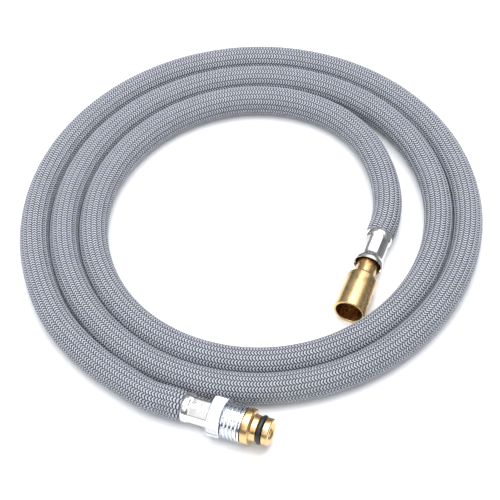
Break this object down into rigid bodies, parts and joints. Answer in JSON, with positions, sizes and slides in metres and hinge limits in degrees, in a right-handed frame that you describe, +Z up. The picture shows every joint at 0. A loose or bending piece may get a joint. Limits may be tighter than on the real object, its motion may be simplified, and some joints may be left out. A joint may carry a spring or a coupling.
{
  "type": "pull-out tap hose",
  "caption": "Nylon-braided pull-out tap hose in a flat coil, with a swivelling threaded nut and sealed brass nose at one end and a brass socket at the other.",
  "frame": {"origin": "on the surface that the coil lies on, under the middle of the whole object's box", "axes": "+Z up; +Y away from the threaded end across the coil; the threaded end lies at the coil's -Y side and points towards +X"},
  "size_m": [0.1939, 0.211, 0.0164],
  "materials": {
    "braided_nylon": "blue-grey nylon yarn in a two-over-two braid, satin",
    "liner_rubber": "smooth extruded hose lining",
    "ferrule_plate": "bright plated crimped tube",
    "nut_chrome": "polished chrome plate with a straight knurl",
    "turned_brass": "turned brass with fine tool rings",
    "seal_rubber": "black moulded rubber"
  },
  "bodies": {
    "hose_line": {"braided_sleeve": "braided_nylon", "inner_liner": "liner_rubber", "spray_end_ferrule": "ferrule_plate", "spray_end_stem": "turned_brass", "nose_o_ring": "seal_rubber", "socket_end_ferrule": "ferrule_plate", "brass_socket": "turned_brass"},
    "slip_ring": {"slip_ring": "nut_chrome"},
    "swivel_nut": {"swivel_nut": "nut_chrome"}
  },
  "joints": [
    {"name": "nut_slide", "type": "slide", "parent": "hose_line", "child": "slip_ring", "axis": [0.9291, -0.366, 0.0523], "range_m": [-0.007, 0]},
    {"name": "nut_spin", "type": "hinge", "parent": "slip_ring", "child": "swivel_nut", "pos_m": [-0.01043, -0.09359, 0.00833], "axis": [0.9291, -0.366, 0.0523], "continuous": true}
  ]
}
